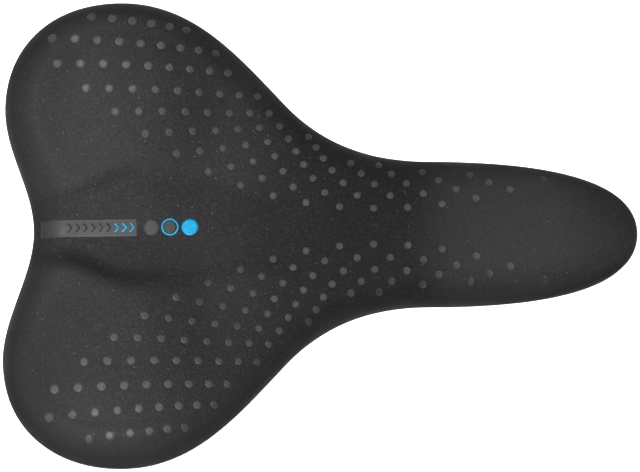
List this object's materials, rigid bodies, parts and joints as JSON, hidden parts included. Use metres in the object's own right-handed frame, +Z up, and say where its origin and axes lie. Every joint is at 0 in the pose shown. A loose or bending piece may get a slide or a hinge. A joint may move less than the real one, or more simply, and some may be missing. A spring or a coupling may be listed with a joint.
{
  "type": "bicycle saddle",
  "caption": "Wide padded touring bicycle saddle: seamless dark cover with a dotted print, gel inserts, moulded shell, steel rails and a sprung rear bridge.",
  "frame": {"origin": "midway between the two rails, at the height of their axes, at the middle of the straights that the seatpost clamp holds", "axes": "+X to the nose of the saddle, +Y to the rider's left, +Z up"},
  "size_m": [0.27, 0.2, 0.0788],
  "materials": {
    "cover_skin": "matte",
    "foam": "matte",
    "gel": "satin",
    "shell_plastic": "satin",
    "gloss_trim": "gloss",
    "bright_steel": "satin",
    "rail_steel": "satin",
    "bush_plastic": "matte",
    "brass": "satin",
    "elastomer": "matte"
  },
  "bodies": {
    "undercarriage": {"rails": "rail_steel", "rear_bridge": "shell_plastic", "rail_grub_screws": "bright_steel", "bridge_bush_left": "bush_plastic", "bridge_bush_right": "bush_plastic", "elastomer_left": "elastomer", "elastomer_right": "elastomer"},
    "saddle_top": {"cover": "cover_skin", "foam_pad": "foam", "gel_pad_left": "gel", "gel_pad_right": "gel", "base_shell": "shell_plastic", "edge_trim": "gloss_trim", "cover_staples": "bright_steel", "nose_bush": "bush_plastic", "nose_clamp_plate": "shell_plastic", "nose_clamp_screws": "bright_steel", "nose_inserts": "brass", "upper_cup_left": "gloss_trim", "upper_cup_right": "gloss_trim", "t_nut_left": "bright_steel", "t_nut_right": "bright_steel", "suspension_bolt_left": "bright_steel", "suspension_bolt_right": "bright_steel", "bolt_washer_left": "bright_steel", "bolt_washer_right": "bright_steel"}
  },
  "joints": [
    {"name": "seat_pitch", "type": "hinge", "parent": "undercarriage", "child": "saddle_top", "pos_m": [0.105, 0, 0.031], "axis": [0, -1, 0], "range_deg": [0, 1.9], "stiffness_Nm_per_rad": 3000, "deforming": ["elastomer_left", "elastomer_right"]}
  ]
}
